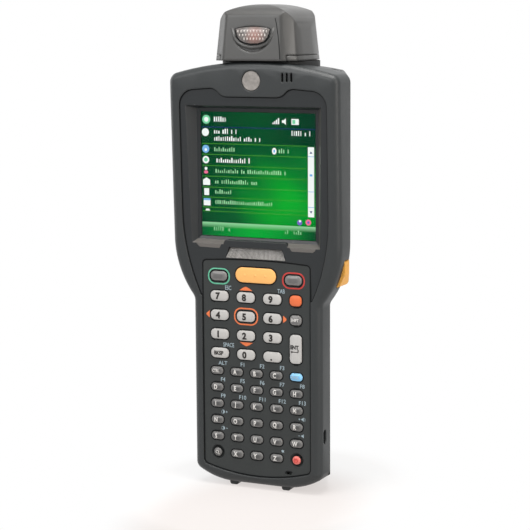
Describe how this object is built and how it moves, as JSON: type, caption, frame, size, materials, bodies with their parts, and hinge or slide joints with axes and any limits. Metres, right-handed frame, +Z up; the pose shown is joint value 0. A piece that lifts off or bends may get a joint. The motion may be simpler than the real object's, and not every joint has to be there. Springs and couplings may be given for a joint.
{
  "type": "handheld data terminal with scan turret",
  "caption": "Rugged handheld data terminal with a square touch display, a full keypad and a scan turret that swivels on its head.",
  "frame": {"origin": "middle of the base, between the two foot rails, on the plane they stand on", "axes": "+Z up the terminal's length to the turret, -Y out of the display and keypad, +X to the right seen from the face"},
  "size_m": [0.0792, 0.041, 0.2092],
  "materials": {
    "housing_plastic": "moulded dark grey plastic with a fine matte grain",
    "frame_plastic": "smooth dark grey plastic",
    "panel_plastic": "dark grey plastic with a fine eroded texture",
    "display_glass": "clear touch glass over a lit display",
    "display_cell": "backlit display cell",
    "lens_plastic": "smoked ribbed light guide",
    "badge_metal": "bare satin disc",
    "key_light": "pale grey moulded key",
    "key_clear": "translucent grey rubber key",
    "key_yellow": "amber moulded key",
    "key_orange": "orange moulded key",
    "key_blue": "translucent blue rubber key",
    "key_red": "translucent red rubber key",
    "silicone": "black silicone sheet",
    "circuit_board": "solder-masked laminate",
    "contact_metal": "gold-flashed contacts in a block",
    "steel": "plain steel",
    "collar_metal": "dark painted die casting",
    "turret_plastic": "moulded dark grey plastic with a fine matte grain",
    "lamp_plastic": "silvery dimpled light diffuser",
    "scan_glass": "dark red scan window",
    "engine_casting": "black scan engine",
    "button_plastic": "dark grey plastic",
    "battery_plastic": "black moulded battery case",
    "stylus_plastic": "black plastic"
  },
  "bodies": {
    "housing": {"front_housing": "housing_plastic", "rear_housing": "housing_plastic", "housing_seal": "silicone", "housing_screws": "steel", "display_frame": "frame_plastic", "display_window": "display_glass", "lcd_panel": "display_cell", "led_bar": "lens_plastic", "badge_disc": "badge_metal", "speaker": "engine_casting", "keypad_panel": "panel_plastic", "keypad_mat": "silicone", "keypad_board": "circuit_board", "main_board": "circuit_board", "wireless_board": "circuit_board", "scan_switches": "engine_casting", "io_connector": "contact_metal", "battery_contacts": "contact_metal", "swivel_collar": "collar_metal"},
    "turret": {"turret_hub": "collar_metal", "turret_base": "turret_plastic", "turret_cover": "turret_plastic", "turret_screws": "steel", "scan_led_lens": "lamp_plastic", "scan_window": "scan_glass", "scan_engine": "engine_casting"},
    "left_scan_button": {"left_scan_button": "button_plastic"},
    "right_scan_button": {"right_scan_button": "button_plastic"},
    "battery": {"battery_pack": "battery_plastic"},
    "latch": {"battery_latch": "button_plastic", "latch_spring": "steel"},
    "pen": {"stylus": "stylus_plastic"},
    "key_7": {"key_7": "key_light"},
    "key_8": {"key_8": "key_light"},
    "key_9": {"key_9": "key_light"},
    "key_4": {"key_4": "key_light"},
    "key_5": {"key_5": "key_light"},
    "key_6": {"key_6": "key_light"},
    "key_1": {"key_1": "key_light"},
    "key_2": {"key_2": "key_light"},
    "key_3": {"key_3": "key_light"},
    "key_backspace": {"key_backspace": "key_light"},
    "key_0": {"key_0": "key_light"},
    "key_point": {"key_point": "key_light"},
    "key_orange": {"key_orange": "key_orange"},
    "key_shift": {"key_shift": "key_light"},
    "key_enter": {"key_enter": "key_light"},
    "key_green": {"key_green": "key_light"},
    "key_red": {"key_red": "key_light"},
    "key_scan": {"key_scan": "key_yellow"},
    "key_control": {"key_control": "key_clear"},
    "keys_a_to_c": {"keys_a_to_c": "key_clear"},
    "key_blue": {"key_blue": "key_blue"},
    "key_search": {"key_search": "key_clear"},
    "keys_x_to_z": {"keys_x_to_z": "key_clear"},
    "key_power": {"key_power": "key_red"},
    "keys_d_to_h": {"keys_d_to_h": "key_clear"},
    "keys_i_to_m": {"keys_i_to_m": "key_clear"},
    "keys_n_to_r": {"keys_n_to_r": "key_clear"},
    "keys_s_to_w": {"keys_s_to_w": "key_clear"}
  },
  "joints": [
    {"name": "turret_swivel", "type": "hinge", "parent": "housing", "child": "turret", "pos_m": [0, -0.0014, 0.1857], "axis": [0, 0, 1], "range_deg": [-135, 135]},
    {"name": "right_scan_press", "type": "slide", "parent": "housing", "child": "right_scan_button", "axis": [-1, 0, 0], "range_m": [0, 0.0008], "stiffness_N_per_m": 1500},
    {"name": "left_scan_press", "type": "slide", "parent": "housing", "child": "left_scan_button", "axis": [1, 0, 0], "range_m": [0, 0.0008], "stiffness_N_per_m": 1500},
    {"name": "battery_removal", "type": "slide", "parent": "housing", "child": "battery", "axis": [0, 1, 0], "range_m": [0, 0.03]},
    {"name": "latch_slide", "type": "slide", "parent": "housing", "child": "latch", "axis": [0, 0, 1], "range_m": [0, 0.003], "stiffness_N_per_m": 400, "deforming": ["latch_spring"]},
    {"name": "stylus_draw", "type": "slide", "parent": "housing", "child": "pen", "axis": [0, 0, 1], "range_m": [0, 0.095]},
    {"name": "key_7_press", "type": "slide", "parent": "housing", "child": "key_7", "axis": [0, 1, 0], "range_m": [0, 0.00075], "stiffness_N_per_m": 1500},
    {"name": "key_8_press", "type": "slide", "parent": "housing", "child": "key_8", "axis": [0, 1, 0], "range_m": [0, 0.00075], "stiffness_N_per_m": 1500},
    {"name": "key_9_press", "type": "slide", "parent": "housing", "child": "key_9", "axis": [0, 1, 0], "range_m": [0, 0.00075], "stiffness_N_per_m": 1500},
    {"name": "key_4_press", "type": "slide", "parent": "housing", "child": "key_4", "axis": [0, 1, 0], "range_m": [0, 0.00075], "stiffness_N_per_m": 1500},
    {"name": "key_5_press", "type": "slide", "parent": "housing", "child": "key_5", "axis": [0, 1, 0], "range_m": [0, 0.00075], "stiffness_N_per_m": 1500},
    {"name": "key_6_press", "type": "slide", "parent": "housing", "child": "key_6", "axis": [0, 1, 0], "range_m": [0, 0.00075], "stiffness_N_per_m": 1500},
    {"name": "key_1_press", "type": "slide", "parent": "housing", "child": "key_1", "axis": [0, 1, 0], "range_m": [0, 0.00075], "stiffness_N_per_m": 1500},
    {"name": "key_2_press", "type": "slide", "parent": "housing", "child": "key_2", "axis": [0, 1, 0], "range_m": [0, 0.00075], "stiffness_N_per_m": 1500},
    {"name": "key_3_press", "type": "slide", "parent": "housing", "child": "key_3", "axis": [0, 1, 0], "range_m": [0, 0.00075], "stiffness_N_per_m": 1500},
    {"name": "key_backspace_press", "type": "slide", "parent": "housing", "child": "key_backspace", "axis": [0, 1, 0], "range_m": [0, 0.00075], "stiffness_N_per_m": 1500},
    {"name": "key_0_press", "type": "slide", "parent": "housing", "child": "key_0", "axis": [0, 1, 0], "range_m": [0, 0.00075], "stiffness_N_per_m": 1500},
    {"name": "key_point_press", "type": "slide", "parent": "housing", "child": "key_point", "axis": [0, 1, 0], "range_m": [0, 0.00075], "stiffness_N_per_m": 1500},
    {"name": "key_orange_press", "type": "slide", "parent": "housing", "child": "key_orange", "axis": [0, 1, 0], "range_m": [0, 0.00075], "stiffness_N_per_m": 1500},
    {"name": "key_shift_press", "type": "slide", "parent": "housing", "child": "key_shift", "axis": [0, 1, 0], "range_m": [0, 0.00075], "stiffness_N_per_m": 1500},
    {"name": "key_enter_press", "type": "slide", "parent": "housing", "child": "key_enter", "axis": [0, 1, 0], "range_m": [0, 0.00075], "stiffness_N_per_m": 1500},
    {"name": "key_green_press", "type": "slide", "parent": "housing", "child": "key_green", "axis": [0, 1, 0], "range_m": [0, 0.00075], "stiffness_N_per_m": 1500},
    {"name": "key_red_press", "type": "slide", "parent": "housing", "child": "key_red", "axis": [0, 1, 0], "range_m": [0, 0.00075], "stiffness_N_per_m": 1500},
    {"name": "key_scan_press", "type": "slide", "parent": "housing", "child": "key_scan", "axis": [0, 1, 0], "range_m": [0, 0.00075], "stiffness_N_per_m": 1500},
    {"name": "key_control_press", "type": "slide", "parent": "housing", "child": "key_control", "axis": [0, 1, 0], "range_m": [0, 0.00075], "stiffness_N_per_m": 1500},
    {"name": "keys_a_to_c_press", "type": "slide", "parent": "housing", "child": "keys_a_to_c", "axis": [0, 1, 0], "range_m": [0, 0.00075], "stiffness_N_per_m": 1500},
    {"name": "key_blue_press", "type": "slide", "parent": "housing", "child": "key_blue", "axis": [0, 1, 0], "range_m": [0, 0.00075], "stiffness_N_per_m": 1500},
    {"name": "key_search_press", "type": "slide", "parent": "housing", "child": "key_search", "axis": [0, 1, 0], "range_m": [0, 0.00075], "stiffness_N_per_m": 1500},
    {"name": "keys_x_to_z_press", "type": "slide", "parent": "housing", "child": "keys_x_to_z", "axis": [0, 1, 0], "range_m": [0, 0.00075], "stiffness_N_per_m": 1500},
    {"name": "key_power_press", "type": "slide", "parent": "housing", "child": "key_power", "axis": [0, 1, 0], "range_m": [0, 0.00075], "stiffness_N_per_m": 1500},
    {"name": "keys_d_to_h_press", "type": "slide", "parent": "housing", "child": "keys_d_to_h", "axis": [0, 1, 0], "range_m": [0, 0.00075], "stiffness_N_per_m": 1500},
    {"name": "keys_i_to_m_press", "type": "slide", "parent": "housing", "child": "keys_i_to_m", "axis": [0, 1, 0], "range_m": [0, 0.00075], "stiffness_N_per_m": 1500},
    {"name": "keys_n_to_r_press", "type": "slide", "parent": "housing", "child": "keys_n_to_r", "axis": [0, 1, 0], "range_m": [0, 0.00075], "stiffness_N_per_m": 1500},
    {"name": "keys_s_to_w_press", "type": "slide", "parent": "housing", "child": "keys_s_to_w", "axis": [0, 1, 0], "range_m": [0, 0.00075], "stiffness_N_per_m": 1500}
  ]
}
